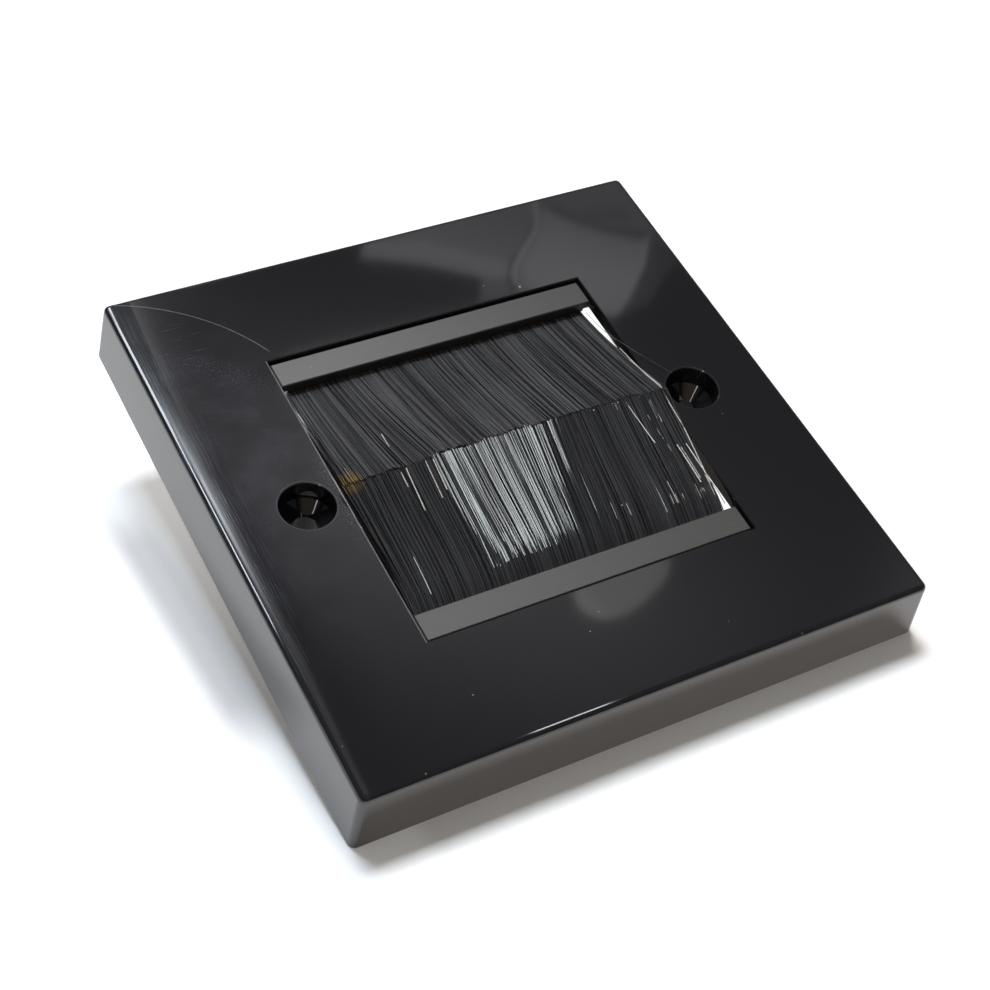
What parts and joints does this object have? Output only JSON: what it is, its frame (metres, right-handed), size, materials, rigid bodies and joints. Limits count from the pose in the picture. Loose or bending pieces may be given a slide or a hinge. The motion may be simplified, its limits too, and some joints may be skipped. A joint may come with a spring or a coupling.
{
  "type": "brush wall plate",
  "caption": "Square wall plate with recessed screw holes and a central opening closed by facing bristle strips that cables push through.",
  "frame": {"origin": "centre of the plate's back plane, where its rim meets the wall", "axes": "+Z out of the wall through the front face, +X from the left screw hole to the right one, +Y up towards the upper brush strip; the plate lies on its back rim"},
  "size_m": [0.086, 0.086, 0.0127],
  "materials": {
    "plate_gloss": "high-gloss black moulding with fine scratches",
    "bar_matte": "matt grey-black extruded plastic",
    "strip_steel": "rolled galvanised sheet",
    "wire_steel": "drawn wire",
    "filament": "fine black nylon filament with a silky shine along its length"
  },
  "bodies": {
    "root": {"face_plate": "plate_gloss", "upper_holder": "bar_matte", "lower_holder": "bar_matte", "upper_channel": "strip_steel", "lower_channel": "strip_steel", "upper_core_wire": "wire_steel", "lower_core_wire": "wire_steel", "upper_bristles": "filament", "lower_bristles": "filament"}
  },
  "joints": []
}
